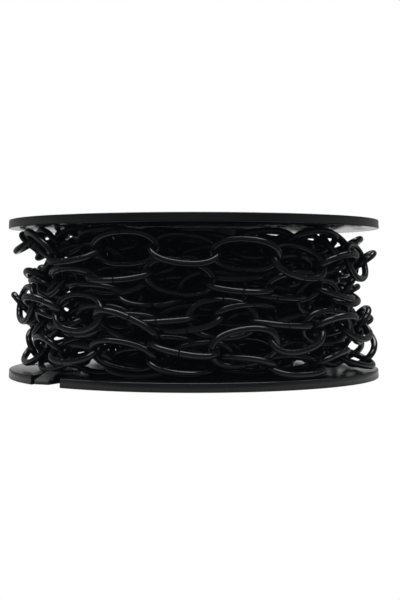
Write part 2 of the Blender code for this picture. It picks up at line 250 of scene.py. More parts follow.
def embossed_polypropylene():
    # Gives a flat charcoal grey with a fine crossed grain.
    material, tree = empty_material("black_embossed_polypropylene")
    place = add_node(tree, "TexCoord").outputs["Object"]
    heights = []
    for turn in (45, -45):
        rotation = {"Rotation": (0, 0, math.radians(turn))}
        turned = add_node(tree, "Mapping", values=rotation, links={"Vector": place})
        values = {"Scale": math.tau / (BANDS_AT_SCALE_TAU * EMBOSS_PITCH), "Distortion": 0.4, "Detail": 1}
        heights.append(add_node(tree, "TexWave", values=values, links={"Vector": turned}).outputs["Fac"])
    crossed = add_node(tree, "Math", {"operation": "MULTIPLY"}, links=dict(enumerate(heights)))
    clouding = {"Scale": 1 / CLOUD_SIZE, "Detail": 4}
    cloud = add_node(tree, "TexNoise", values=clouding, links={"Vector": place})
    finish_surface(
        tree,
        POLYPROPYLENE_IOR,
        colour=(cloud, (0.3, "#3a3a3a"), (0.75, "#454544")),
        roughness=(cloud, 0.3, 0.7, 0.5, 0.65),
        bumps=((crossed, 0.6, EMBOSS_HEIGHT),),
    )
    return material


strapping = embossed_polypropylene()
print("strap finish:", strapping.name, "with", len(strapping.node_tree.nodes), "nodes")


# %% [markdown]
# Plates, cutters and the strap are all made alike: one outline is drawn again and again along a way,
# and neighbouring outlines are joined by faces. A way that comes back to its start closes to a
# ring, and any other gets a face at both ends. Every finished piece is then linked, given its
# material, smooth shaded with crisp edges kept where two faces meet at a steep angle, and set to
# ride on the body.

# %% Making and finishing a piece
CRISP_ANGLE = math.radians(40)


def skin(name, outlines, ring=False):
    shape = bmesh.new()
    rows = [[shape.verts.new(corner) for corner in outline] for outline in outlines]
    for here, after in zip(rows, rows[1:] + rows[:1] if ring else rows[1:]):
        for i in range(len(here)):
            j = (i + 1) % len(here)
            shape.faces.new((here[i], here[j], after[j], after[i]))
    if not ring:
        shape.faces.new(rows[0])
        shape.faces.new(rows[-1])
    bmesh.ops.recalc_face_normals(shape, faces=shape.faces)
    mesh = bpy.data.meshes.new(name)
    shape.to_mesh(mesh)
    shape.free()
    return mesh


def into_scene(name, data):
    item = bpy.data.objects.new(name, data)
    bpy.context.scene.collection.objects.link(item)
    return item


def finish_piece(name, mesh, material, nodes):
    piece = into_scene(name, mesh)
    mesh.materials.clear()
    mesh.materials.append(material)
    mesh.shade_smooth()
    mesh.set_sharp_from_angle(angle=CRISP_ANGLE)
    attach(piece, "root")
    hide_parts(*nodes)
    print(name, "has", sum(len(face.vertices) - 2 for face in mesh.polygons), "triangles")


print("crisp edges from", round(math.degrees(CRISP_ANGLE)))


# %% [markdown]
# Each plate of the reel is a turned shape: draw half of its cross-section once and spin it round
# the axis. The mould leaves the rims slightly rounded, and that thin round is what catches the
# pale line of light along the edge, so it gets five small steps instead of one flat bevel. The rim
# also leans in by a hair towards the top, the draft that lets a moulding leave its mould. That keeps
# the white table out of what the rim mirrors.

# %% Cross-section of a plate
PLATE_SIDES = 288
ROUND_STEPS = 5
RIM_DRAFT = 0.2 * MM
RECESS_DEPTH = 1.8 * MM
RECESS_INNER_RADIUS = 30 * MM
RECESS_OUTER_RADIUS = 106 * MM


def arc(centre, radius, start, turn, steps):
    # Points on a circle from the start angle through a turn, both in degrees.
    points = []
    for step in range(steps + 1):
        angle = math.radians(start + turn * step / steps)
        points.append((centre[0] + radius * math.cos(angle), centre[1] + radius * math.sin(angle)))
    return points


def rounded_corner(centre, radius, start, steps=ROUND_STEPS):
    return arc(centre, radius, start, -90, steps)


def plate_section(recessed):
    half = PLATE_THICKNESS / 2
    inside = PLATE_RADIUS - PLATE_EDGE
    section = rounded_corner((inside - RIM_DRAFT, half - PLATE_EDGE), PLATE_EDGE, 90)
    section += rounded_corner((inside, PLATE_EDGE - half), PLATE_EDGE, 0)
    if recessed:
        section += [
            (RECESS_OUTER_RADIUS, -half),
            (RECESS_OUTER_RADIUS - RECESS_DEPTH, RECESS_DEPTH - half),
            (RECESS_INNER_RADIUS + RECESS_DEPTH, RECESS_DEPTH - half),
            (RECESS_INNER_RADIUS, -half),
        ]
    bore = SPINDLE_RADIUS + PLATE_EDGE
    section += rounded_corner((bore, PLATE_EDGE - half), PLATE_EDGE, -90)
    section += rounded_corner((bore, half - PLATE_EDGE), PLATE_EDGE, -180)
    return section


def full_turn(sides):
    return [math.tau * side / sides for side in range(sides)]


def spin(name, section, sides):
    outlines = [[(r * math.cos(a), r * math.sin(a), z) for r, z in section] for a in full_turn(sides)]
    return skin(name, outlines, ring=True)


print("plate section has", len(plate_section(False)), "corners")

# %% [markdown]
# A small round tie hole is cut out of each plate, and the catch notch out of the lower one. Each
# cutter is a flat outline raised to a prism that is taller than the plate.

# %% Tie holes
TIE_HOLE_RADIUS = 4.5 * MM
TIE_HOLE_ORBIT = 105 * MM
TIE_HOLE_BEARINGS = (82, -98)
TIE_HOLE_SIDES = 40


def cutting_prism(name, outline, height):
    ends = (height - PLATE_THICKNESS, height + PLATE_THICKNESS)
    return into_scene(name, skin(name, [[(x, y, end) for x, y in outline] for end in ends]))


def tie_hole_cutter(bearing, height):
    spot = on_bearing(bearing, TIE_HOLE_ORBIT)
    outline = []
    for turn in full_turn(TIE_HOLE_SIDES):
        outline.append((spot.x + TIE_HOLE_RADIUS * math.cos(turn), spot.y + TIE_HOLE_RADIUS * math.sin(turn)))
    return cutting_prism("tie_hole_cutter", outline, height)


print("tie holes", round(2 * TIE_HOLE_RADIUS / MM, 1), "mm across")

# %% [markdown]
# The notch is a slot with rounded inner corners that the tie strap drops through. One wall is
# drawn, and the other is its mirror image, flared a little outwards.

# %% The catch notch
NOTCH_WIDTH = 27 * MM
NOTCH_BEARING = -47
NOTCH_SLANT = 11
NOTCH_DEPTH = 21 * MM
NOTCH_CORNER = 4 * MM
NOTCH_CORNER_STEPS = 8
NOTCH_FLARE = 4 * MM


def notch_cutter(height):
    half = NOTCH_WIDTH / 2
    centre = (NOTCH_CORNER - NOTCH_DEPTH, half - NOTCH_CORNER)
    outline = [(NOTCH_DEPTH, half), *arc(centre, NOTCH_CORNER, 90, 90, NOTCH_CORNER_STEPS)]
    outline += [(x, -y + NOTCH_FLARE * x / NOTCH_DEPTH) for x, y in reversed(outline)]
    item = cutting_prism("notch_cutter", outline, height)
    item.rotation_euler.z = math.radians(NOTCH_BEARING - 90 + NOTCH_SLANT)
    item.location = on_bearing(NOTCH_BEARING, PLATE_RADIUS)
    return item


print("notch", round(NOTCH_WIDTH / MM), "mm wide and", round(NOTCH_DEPTH / MM), "mm deep")


# %% [markdown]
# Each plate is spun, lifted to its height and cut with exact booleans, and the cutters go away.

# %% The two plates
def plate(name, height, hole_bearing, recessed, notched):
    mesh = spin(name, plate_section(recessed), PLATE_SIDES)
    mesh.transform(Matrix.Translation((0, 0, height)))
    item = into_scene(name, mesh)
    tools = [tie_hole_cutter(hole_bearing, height)]
    if notched:
        tools.append(notch_cutter(height))
    for tool in tools:
        boolean = item.modifiers.new("cut", "BOOLEAN")
        boolean.operation = "DIFFERENCE"
        boolean.solver = "EXACT"
        boolean.object = tool
    view = bpy.context.evaluated_depsgraph_get()
    finished = bpy.data.meshes.new_from_object(item.evaluated_get(view))
    for thing in (item, *tools):
        bpy.data.objects.remove(thing)
    return finished


low = PLATE_THICKNESS / 2
high = REEL_HEIGHT - low
top_mesh = plate("top_plate", high, TIE_HOLE_BEARINGS[0], False, False)
finish_piece("top_plate", top_mesh, plastic, ["top_flange"])
bottom_mesh = plate("bottom_plate", low, TIE_HOLE_BEARINGS[1], True, True)
finish_piece("bottom_plate", bottom_mesh, plastic, ["bottom_flange"])

# %% [markdown]
# The barrel is hidden behind the chain. Its solid has the right shape, so it only takes the plastic.

# %% The barrel keeps its solid
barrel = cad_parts["barrel"]
barrel.data.materials.clear()
barrel.data.materials.append(plastic)
print("barrel's solid finished in", plastic.name)

# %% [markdown]
# The strap lies on the lower plate, slopes down through the notch and folds back underneath. Its
# way is a list of points, each a distance in from the rim and a height.

# %% The strap's way
STRAP_WIDTH = 9.5 * MM
STRAP_THICKNESS = 1.2 * MM
STRAP_BEARING = -50
STRAP_SLANT = 25
STRAP_TURN = math.radians(STRAP_BEARING - 90 + STRAP_SLANT)
STRAP_TOP_REACH = 33 * MM
STRAP_EDGE_REACH = 15.5 * MM
STRAP_FOLD_REACH = 4.5 * MM
STRAP_FOLD_RADIUS = 0.85 * MM
STRAP_FOLD_STEPS = 24
STRAP_UNDER_REACH = 40 * MM


def strap_way():
    upper = PLATE_THICKNESS + GAP + STRAP_THICKNESS / 2
    under = GAP + STRAP_THICKNESS / 2
    way = [(STRAP_TOP_REACH, upper), (STRAP_EDGE_REACH, upper)]
    for step in range(STRAP_FOLD_STEPS + 1):
        angle = math.pi * step / STRAP_FOLD_STEPS
        reach = STRAP_FOLD_REACH - STRAP_FOLD_RADIUS * math.sin(angle)
        way.append((reach, under + STRAP_FOLD_RADIUS * (1 + math.cos(angle))))
    way.append((STRAP_UNDER_REACH, under))
    return way


strap_length = sum(math.dist(here, after) for here, after in zip(strap_way(), strap_way()[1:]))
print("the strap is", round(strap_length / MM, 1), "mm long")

# %% [markdown]
# The strap is a band with softened long edges: one small cross-section carried along that way.

# %% The tie strap
STRAP_EDGE = 0.35 * MM
STRAP_EDGE_STEPS = 3


def strap_section():
    wide = STRAP_WIDTH / 2 - STRAP_EDGE
    thick = STRAP_THICKNESS / 2 - STRAP_EDGE
    section = []
    for number, corner in enumerate(((wide, thick), (wide, -thick), (-wide, -thick), (-wide, thick))):
        section += rounded_corner(corner, STRAP_EDGE, 90 - 90 * number, STRAP_EDGE_STEPS)
    return section


def strap_mesh():
    way = strap_way()
    outlines = []
    for number, (reach, height) in enumerate(way):
        before = way[max(number - 1, 0)]
        after = way[min(number + 1, len(way) - 1)]
        along = Vector((before[0] - after[0], 0, after[1] - before[1])).normalized()
        up = Vector((-along.z, 0, along.x))
        outlines.append([Vector((-reach, side, height)) + up * rise for side, rise in strap_section()])
    mesh = skin("tie_strap_band", outlines)
    to_rim = Matrix.Translation(on_bearing(STRAP_BEARING, PLATE_RADIUS))
    mesh.transform(to_rim @ Matrix.Rotation(STRAP_TURN, 4, "Z"))
    return mesh


finish_piece("tie_strap_band", strap_mesh(), strapping, ["tie_strap"])

# %% [markdown]
# The chain is wound on in loose turns. Real winding is not tidy: each link hangs from the last, lies
# half turned over, and shifts aside where another is in its way. So the winding has two steps. First
# every joint gets a place on a rough way round the reel, read from the photograph across the front.
# Then the links push each other apart until they lie side by side.

# %% Sizes of the chain
WIRE = 4.1 * MM
LINK_LENGTH = 41.6 * MM
LINK_WIDTH = 25.6 * MM
LINK_CORNERS = 8
LINK_BULGE = 2.3
SEAT = 1.0 * MM
PITCH = LINK_LENGTH - 2 * WIRE + SEAT
LINKS_PER_STRAND = 62
STRANDS = 3
STRAND_SLACK = 1.2 * MM
CORE_RADIUS = 56 * MM
print("one link adds", round(PITCH / MM, 1), "mm to the chain")

# %% [markdown]
# Each row has the joints between its links across the front, as a bearing in degrees, a height and
# a radius in millimetres and the twist of the link that follows. Then come the number of links that
# lead round the back to the next row, and their height there. Every other link is turned 90 degrees
# more, because links hang in each other like that.

# %% The rows across the front
ROWS = (
    (((18, 80, 92, 44), (38, 84, 96, 50)), 13, 84),
    (
        ((-65, 86, 107, 135), (-48, 76, 109, 100), (-31, 78, 107, 126), (-12, 80, 105, 139))
        + ((7, 77, 105, 129), (25, 74, 107, 150), (42, 69, 109, 151), (59, 72, 108, 145)),
        13,
        69,
    ),
    (
        ((-50, 61, 101, 160), (-33, 64, 105, 102), (-15, 66, 99, 120), (5, 60, 97, 122))
        + ((24, 57, 102, 127), (43, 58, 104, 109), (61, 52, 104, 110)),
        12,
        57,
    ),
    (
        ((-43, 55, 100, 151), (-25, 54, 95, 129), (-4, 53, 90, 116), (18, 53, 92, 124), (37, 53, 100, 124)),
        15,
        46,
    ),
    (((-20, 38, 99, 105), (0, 40, 97, 92), (20, 38, 98, 118), (39, 36, 102, 118)), 14, 34),
    (
        ((-63, 46, 109, 168), (-46, 44, 110, 162), (-29, 41, 110, 153), (-12, 28, 107, 106))
        + ((6, 22, 107, 98), (23, 27, 110, 126), (40, 34, 111, 152), (57, 35, 110, 150)),
        12,
        23,
    ),
    (
        ((-68, 17, 100, 209), (-50, 20, 104, 217), (-32, 21, 104, 219), (-14, 17, 98, 214))
        + ((6, 14, 97, 243), (25, 12, 101, 225), (43, 12, 104, 241), (61, 15, 100, 240)),
        12,
        11,
    ),
)
CHAIN_END = (-80, 12, 84, 240)
print("rows across the front:", len(ROWS))

# %% [markdown]
# Under the outer turns the chain lies in a second layer, which winds evenly upwards. Its way and the
# rows make one list of joints, from the innermost to the end of the chain.

# %% The way of the whole chain
SECOND_LAYER_TURNS = 5
SECOND_LAYER_LINKS = 60
SECOND_LAYER_START = (16, 68, 45)
SECOND_LAYER_STOP = (82, 68, 45)


def even_way(start, stop, count):
    start = np.array(start, float)
    return [start + (np.array(stop) - start) * number / count for number in range(count)]


def chain_way():
    first = ROWS[0][0][0][0]
    start = (first - 360 * SECOND_LAYER_TURNS, *SECOND_LAYER_START)
    way = even_way(start, (first, *SECOND_LAYER_STOP), SECOND_LAYER_LINKS)
    seen = [False] * len(way)
    ends = [row[0][0] for row in ROWS[1:]] + [CHAIN_END]
    for (stations, behind, back_height), end in zip(ROWS, ends):
        for station in stations[:-1]:
            way.append(np.array(station, float))
            seen.append(True)
        last = np.array(stations[-1], float)
        following = np.array(end) + (360, 0, 0, 0)
        bow = np.array([0, back_height - (last[1] + following[1]) / 2, 0, 0])
        for number in range(behind):
            share = number / behind
            way.append(last + (following - last) * share + bow * math.sin(math.pi * share))
            seen.append(number == 0)
    way.append(following)
    seen.append(False)
    return np.array(way), np.array(seen)


way, seen = chain_way()
print("joints:", len(way), "of which read from the photograph:", int(seen.sum()))

# %% [markdown]
# A link's place follows from the two joints at its ends and its twist. Its X runs along the chain,
# its Y across the link and its Z square to the link's flat side.

# %% From joints to links
def link_frames(joints, twists):
    along = joints[1:] - joints[:-1]
    along /= np.linalg.norm(along, axis=1)[:, None]
    middle = joints[1:] - along * PITCH / 2
    outward = middle * (1, 1, 0)
    outward -= along * (outward * along).sum(axis=1)[:, None]
    outward /= np.linalg.norm(outward, axis=1)[:, None]
    sideways = np.cross(along, outward)
    across = outward * np.cos(twists)[:, None] + sideways * np.sin(twists)[:, None]
    return middle, along, across, np.cross(along, across)


def link_corners():
    # A coarse oval of straight runs for the wire's middle line, good enough to feel for neighbours.
    corners = []
    size = math.cos(math.pi / LINK_CORNERS) ** (2 / LINK_BULGE)
    for number in range(LINK_CORNERS):
        angle = 2 * math.pi * (number + 0.5) / LINK_CORNERS
        x = math.copysign(abs(math.cos(angle)) ** (2 / LINK_BULGE), math.cos(angle)) / size
        y = math.copysign(abs(math.sin(angle)) ** (2 / LINK_BULGE), math.sin(angle)) / size
        corners.append(((LINK_LENGTH - WIRE) / 2 * x, (LINK_WIDTH - WIRE) / 2 * y, 0))
    return corners


print("a coarse link has", len(link_corners()), "corners")

# %% [markdown]
# Two wires touch where their straight runs come nearer than a wire's thickness. The nearest points
# are found for all pairs of runs at once with arrays, which makes the settling quick.

# %% Where wires touch
PARALLEL = 0.000001
LEAST_DISTANCE = 0.003 * MM
STRAND_FORCE = 3.0


def nearest_shares(first, first_run, second, second_run):
    # How far along each of two straight runs of wire their nearest points are.
    apart = first - second
    a = (first_run * first_run).sum(axis=-1)
    b = (first_run * second_run).sum(axis=-1)
    c = (first_run * apart).sum(axis=-1)
    e = (second_run * second_run).sum(axis=-1)
    f = (second_run * apart).sum(axis=-1)
    square = a * e - b * b
    parallel = square < PARALLEL * a * e
    on_first = np.clip(np.where(parallel, 0, (b * f - c * e) / np.where(parallel, 1, square)), 0, 1)
    on_second = np.clip((b * on_first + f) / e, 0, 1)
    on_first = np.clip((b * on_second - c) / a, 0, 1)
    return on_first, on_second


def wire_contacts(points, pairs, space):
    corners = np.array(link_corners())[:, :2]
    runs = np.roll(points, -1, axis=1) - points
    corner_runs = np.roll(corners, -1, axis=0) - corners
    first, second = pairs
    a, a_run = points[first][:, :, None], runs[first][:, :, None]
    b, b_run = points[second][:, None], runs[second][:, None]
    on_a, on_b = nearest_shares(a, a_run, b, b_run)
    gap = a + a_run * on_a[..., None] - b - b_run * on_b[..., None]
    distance = np.linalg.norm(gap, axis=-1)
    pair, i, j = np.nonzero(distance < WIRE + space[:, None, None])
    distance = distance[pair, i, j]
    direction = gap[pair, i, j] / np.maximum(distance, LEAST_DISTANCE)[:, None]
    on_first = corners[i] + corner_runs[i] * on_a[pair, i, j][:, None]
    on_second = corners[j] + corner_runs[j] * on_b[pair, i, j][:, None]
    amount = (WIRE + space[pair] - distance) / 2
    force = np.where(space[pair] > 0, STRAND_FORCE, 1)
    return [
        (first[pair], direction, on_first, amount, force),
        (second[pair], -direction, on_second, amount, force),
    ]


crossed_runs = np.array(((0, 0, 0), (2, 0, 0), (1, -1, 1), (0, 2, 0)), float)
print("two crossed runs are nearest at", *nearest_shares(*crossed_runs), "of their lengths")


# %% [markdown]
# The plates, the strap, the reel's edge and whatever lies further in push back on the links too.

# %% Where wires touch the reel
REEL_SPACE = 0.5 * MM
CORE_SPACE = 1.5 * MM
REEL_FORCE = 2.0
STRAP_MARGIN = 8 * MM


def floor_under(points):
    # The height that the chain lies on: the lower plate, and the strap where it runs over the plate.
    along = np.array((math.cos(STRAP_TURN), math.sin(STRAP_TURN)))
    from_rim = points[:, :2] - np.array(on_bearing(STRAP_BEARING, PLATE_RADIUS))[:2]
    reach = -(from_rim * along).sum(axis=1)
    side = from_rim[:, 0] * along[1] - from_rim[:, 1] * along[0]
    on_strap = (np.abs(side) < STRAP_WIDTH / 2 + STRAP_MARGIN) & (reach < STRAP_TOP_REACH + STRAP_MARGIN)
    return PLATE_THICKNESS + np.where(on_strap, GAP + STRAP_THICKNESS, 0)


def reel_contacts(points, core, edge):
    corners = np.array(link_corners())[:, :2]
    owner, corner = np.indices(points.shape[:2]).reshape(2, -1)
    flat = points.reshape(-1, 3)
    radius = np.hypot(flat[:, 0], flat[:, 1])
    outward = flat * (1, 1, 0) / radius[:, None]
    upward = np.zeros_like(flat) + (0, 0, 1)
    half = WIRE / 2
    limits = (
        (floor_under(flat) + half + REEL_SPACE - flat[:, 2], upward),
        (flat[:, 2] - REEL_HEIGHT + PLATE_THICKNESS + half + REEL_SPACE, -upward),
        (radius - edge + half, -outward),
        (core + CORE_SPACE + half - radius, outward),
    )
    contacts = []
    for amount, direction in limits:
        near = amount > 0
        force = np.full(near.sum(), REEL_FORCE)
        contacts.append((owner[near], direction[near], corners[corner[near]], amount[near], force))
    return contacts


print("the chain lies", round(float(floor_under(np.zeros((1, 3)))[0]) / MM, 1), "mm up")


# %% [markdown]
# A push does two things to a link: it moves the joints at its ends, the nearer one most, and it
# turns the link about its length. After each round of pushes the links that hook each other are kept
# roughly square and every link is set back to its own length, because wire doesn't stretch.

# %% Pushing and setting back
PUSH = 1.3
TURNING_REACH = 10 * MM
HOOK_PLAY = math.radians(38)
PITCH_ROUNDS = 12


def pushed(joints, twists, normals, contacts):
    links, direction, spot, amount, force = (np.concatenate(column) for column in zip(*contacts))
    share = np.clip(spot[:, 0] / PITCH + 0.5, 0, 1)
    lever = spot[:, 1] * (normals[links] * direction).sum(axis=1)
    turning = lever / TURNING_REACH ** 2
    scale = amount * force / (share ** 2 + (1 - share) ** 2 + lever * turning)
    shift = np.zeros_like(joints)
    weight = np.zeros(len(joints))
    turn = np.zeros_like(twists)
    turn_weight = np.zeros(len(twists))
    np.add.at(shift, links, direction * ((1 - share) * scale)[:, None])
    np.add.at(shift, links + 1, direction * (share * scale)[:, None])
    np.add.at(weight, links, force)
    np.add.at(weight, links + 1, force)
    np.add.at(turn, links, turning * scale)
    np.add.at(turn_weight, links, force)
    joints = joints + PUSH * shift / np.maximum(weight, 1)[:, None]
    twists = twists + PUSH * turn / np.maximum(turn_weight, 1)
    return joints, twists


def square_to_each_other(twists):
    bend = twists[1:] - twists[:-1]
    square = (np.round(bend / math.pi - 0.5) + 0.5) * math.pi
    over = bend - square - np.clip(bend - square, -HOOK_PLAY, HOOK_PLAY)
    twists = twists.copy()
    twists[1:] -= over / 2
    twists[:-1] += over / 2
    return twists


def pulled_to_pitch(joints, lengths):
    joints = joints.copy()
    for start in (0, 1) * PITCH_ROUNDS:
        line = joints[start + 1::2] - joints[start:-1:2]
        size = np.linalg.norm(line, axis=1)
        half = line * ((size - lengths[start::2]) / size / 2)[:, None]
        joints[start:-1:2] += half
        joints[start + 1::2] -= half
    return joints


print("two links at one twist turn to", np.degrees(square_to_each_other(np.zeros(2))).round())


# %% [markdown]
# Settling repeats that some hundreds of times. A joint that was read from the photograph holds its
# place to the side and in height, which a photograph shows, and gives way in depth, which it
# doesn't. Near the end every hold is let go, so that nothing is left pressed into its neighbour.

# %% Settling the chain
SETTLING_STEPS = 400
NEIGHBOUR_STEPS = 10
STRAND_SPACE = 1.0 * MM
SEEN_HOLD = (0.12, 0.015, 0.12)
SEEN_TWIST_HOLD = 0.06
HIDDEN_HOLD = 0.004
FREE_FROM_STEP = 280
LETTING_GO = 0.97
DECIMALS = 8


def coarse_points(middle, along, across):
    corners = np.array(link_corners())
    return middle[:, None] + along[:, None] * corners[:, :1] + across[:, None] * corners[:, 1:2]


def settled_chain(way, seen, strand_length, core, edge, around):
    # The links around are others that lie still, given as their coarse points.
    joints = np.array([on_bearing(spot[0], spot[2] * MM, spot[1] * MM) for spot in way])
    count = len(way) - 1
    numbers = np.arange(count)
    twists = np.radians(way[:-1, 3] + numbers % 2 * 90)
    strand = np.concatenate([numbers // strand_length, np.full(len(around), -1)])
    lengths = np.full(count, PITCH)
    lengths[strand_length::strand_length] -= SEAT + STRAND_SLACK
    first, second = np.triu_indices(count + len(around), 1)
    free = (first < count) & ((second - first > 1) | (strand[first] != strand[second]))
    first, second = first[free], second[free]
    home = joints
    home_twists = twists
    hold = np.where(seen[:, None], SEEN_HOLD, HIDDEN_HOLD)
    twist_hold = np.where(seen[:-1] & seen[1:], SEEN_TWIST_HOLD, HIDDEN_HOLD)
    for step in range(SETTLING_STEPS):
        middle, along, across, normal = link_frames(joints, twists)
        points = np.concatenate([coarse_points(middle, along, across), around])
        if step % NEIGHBOUR_STEPS == 0:
            middles = points.mean(axis=1)
            near = np.linalg.norm(middles[first] - middles[second], axis=1) < LINK_LENGTH + 2 * WIRE
            pairs = first[near], second[near]
            space = np.where(strand[pairs[0]] != strand[pairs[1]], STRAND_SPACE, 0)
        contacts = wire_contacts(points, pairs, space) + reel_contacts(points[:count], core, edge)
        moving = [[column[contact[0] < count] for column in contact] for contact in contacts]
        joints, twists = pushed(joints, twists, normal, moving)
        joints = joints + (home - joints) * hold
        twists = square_to_each_other(twists + (home_twists - twists) * twist_hold)
        joints = np.round(pulled_to_pitch(joints, lengths), DECIMALS)
        twists = np.round(twists, DECIMALS)
        if step > FREE_FROM_STEP:
            hold = hold * LETTING_GO
            twist_hold = twist_hold * LETTING_GO
    return joints, twists


def link_places(joints, twists):
    places = []
    for middle, *directions in zip(*link_frames(joints, twists)):
        turn = Matrix([Vector(direction) for direction in directions]).transposed()
        places.append(Matrix.Translation(Vector(middle)) @ turn.to_4x4())
    return places


nothing_around = np.zeros((0, LINK_CORNERS, 3))
settled = settled_chain(way, seen, LINKS_PER_STRAND, CORE_RADIUS, PLATE_RADIUS, nothing_around)
chain_places = link_places(*settled)
chain_points = coarse_points(*link_frames(*settled)[:3])
print("settled", len(chain_places), "links")

# %% [markdown]
# A link is a length of round wire bent to an oval, a little squarer than an ellipse, and butted in
# the middle of one long side, with a hair of a gap between. The rings of the mesh are spaced by
# length and by turning together, so more go to the tight bends.

# %% The oval line of a link
OVAL_POINTS = 2000
TURNING_WEIGHT = 1.2
SEAM_GAP = 0.35 * MM


def oval_line(rings):
    angles = np.linspace(math.pi / 2, math.pi / 2 + math.tau, OVAL_POINTS)
    sizes = ((LINK_LENGTH - WIRE) / 2, (LINK_WIDTH - WIRE) / 2)
    x, y = (
        size * np.sign(share) * np.abs(share) ** (2 / LINK_BULGE)
        for size, share in zip(sizes, (np.cos(angles), np.sin(angles)))
    )
    steps = np.stack([np.diff(x), np.diff(y)], axis=1)
    run = np.concatenate([[0], np.cumsum(np.hypot(steps[:, 0], steps[:, 1]))])
    headings = np.unwrap(np.arctan2(steps[:, 1], steps[:, 0]))
    turned = np.concatenate([[0], np.cumsum(np.abs(np.diff(headings)))])
    turned = np.concatenate([turned, turned[-1:]])
    effort = run / run[-1] + TURNING_WEIGHT * turned / turned[-1]
    first, last = np.interp([SEAM_GAP / 2, run[-1] - SEAM_GAP / 2], run, effort)
    stops = np.interp(np.linspace(first, last, rings), effort, run)
    return np.stack([np.interp(stops, run, x), np.interp(stops, run, y)], axis=1)


seam = oval_line(3)[[0, -1]]
print("seam", round(float(seam[1, 0] - seam[0, 0]) / MM, 2), "mm wide")

# %% [markdown]
# One circle is carried along that line. The two ends of the wire are slightly chamfered, which
# makes the joint that can be seen in every link. The inner side of both crowns is marked as rubbed.

# %% One finished link
LINK_RINGS = 44
WIRE_SIDES = 14
SEAM_CHAMFER = 0.3 * MM
RUBBED_FROM = 0.86


def wire_spots(rings):
    # Where the circles go: middle, the wire's direction, the way out of the oval, and radius.
    line = oval_line(rings)
    ahead = np.roll(line, -1, axis=0) - np.roll(line, 1, axis=0)
    ahead[0] = line[1] - line[0]
    ahead[-1] = line[-1] - line[-2]
    ahead /= np.linalg.norm(ahead, axis=1)[:, None]
    side = np.stack([ahead[:, 1], -ahead[:, 0]], axis=1)
    spots = [(line[i], ahead[i], side[i], WIRE / 2) for i in range(rings)]
    spots[0] = (line[0] + ahead[0] * SEAM_CHAMFER, ahead[0], side[0], WIRE / 2)
    spots[-1] = (line[-1] - ahead[-1] * SEAM_CHAMFER, ahead[-1], side[-1], WIRE / 2)
    first = (line[0], ahead[0], side[0], WIRE / 2 - SEAM_CHAMFER)
    last = (line[-1], ahead[-1], side[-1], WIRE / 2 - SEAM_CHAMFER)
    return [first, *spots, last]


def link_form(rings, sides):
    # One link lying flat, with how rubbed each corner is.
    corners = []
    rubbed = []
    end = (LINK_LENGTH - WIRE) / 2
    spots = wire_spots(rings)
    for middle, heading, out, radius in spots:
        for angle in full_turn(sides):
            flat = middle + out * radius * math.cos(angle)
            corners.append((flat[0], flat[1], radius * math.sin(angle)))
            inner = max(0.0, -math.cos(angle))
            crown = min(1.0, max(0.0, (abs(middle[0]) / end - RUBBED_FROM) / (1 - RUBBED_FROM)))
            rubbed.append(inner * crown)
    faces = []
    for here in range(0, (len(spots) - 1) * sides, sides):
        for number in range(sides):
            after = (number + 1) % sides
            faces.append((here + number, here + after, here + sides + after, here + sides + number))
    faces.append(tuple(reversed(range(sides))))
    faces.append(tuple(range((len(spots) - 1) * sides, len(spots) * sides)))
    return np.array(corners), faces, rubbed


form = link_form(LINK_RINGS, WIRE_SIDES)
print("a link has", len(form[0]), "corners and", len(form[1]), "faces")

# %% [markdown]
# Many equal links become one mesh per length of chain. The seam is on one side of a link or the
# other by chance, so a seeded random draw turns some links over. Where the photograph shows a seam,
# the link follows it.

# %% Joining links into lengths of chain
SEAM_ABOVE = (76, 77, 132, 150, 172)
SEAM_BELOW = (78, 95, 97, 113, 131, 152, 153, 169, 171)
seam_side = random.Random(7)


def turned_over(place, number):
    # The seam lies on the link's +Y side until the link is turned over.
    by_chance = seam_side.random() < 0.5
    points_up = place.col[1].z > 0
    if number in SEAM_ABOVE:
        return not points_up
    if number in SEAM_BELOW:
        return points_up
    return by_chance


def joined_links(name, places, link, first_number):
    corners, faces, rubbed = link
    all_corners = []
    all_faces = []
    all_rubbed = []
    for number, place in enumerate(places):
        turn = math.pi if turned_over(place, first_number + number) else 0
        spot = place @ Matrix.Rotation(turn, 4, "X")
        first = len(all_corners) * len(corners)
        all_corners.append(corners @ np.array(spot.to_3x3()).T + np.array(spot.translation))
        all_faces += [tuple(first + corner for corner in face) for face in faces]
        all_rubbed += rubbed
    mesh = bpy.data.meshes.new(name)
    mesh.from_pydata(np.concatenate(all_corners).tolist(), [], all_faces)
    mesh.attributes.new("rubbed", "FLOAT", "POINT").data.foreach_set("value", all_rubbed)
    mesh.update()
    return mesh


for number in range(STRANDS):
    name = f"links_{number + 1}"
    first = number * LINKS_PER_STRAND
    mesh = joined_links(name, chain_places[first:first + LINKS_PER_STRAND], form, first)
    finish_piece(name, mesh, coating, [f"chain_strand_{number + 1}"])

# %% [markdown]
# Through the loops of these turns one looks at the turns beneath, one plain ring in the solid model.
# Here they are real links too, wound and settled in the same way among the links that lie there
# already, but as coarser meshes, because they lie in shadow. Each winding has its bearing at the end
# in degrees, its height at the start and the end and its radius in millimetres, its number of
# links, and how near the axis and how far out it may come in millimetres.

# %% The turns beneath
DEEP_RINGS = 30
DEEP_SIDES = 9
DEEP_TWIST = 45
DEEP_WINDINGS = ((0, 12, 86, 51, 54, 41, 70), (70, 86, 14, 80, 60, 60, 100), (2, 12, 88, 94, 55, 80, 113))


def deep_settled(winding, around):
    bearing, start_height, end_height, radius, count, core, edge = winding
    per_turn = math.tau * radius * MM / PITCH
    start = (bearing - 360 * count / per_turn, start_height, radius, DEEP_TWIST)
    joints = np.array(even_way(start, (bearing, end_height, radius, DEEP_TWIST), count))
    nowhere = np.zeros(len(joints), bool)
    return settled_chain(joints, nowhere, count, core * MM, edge * MM, around)


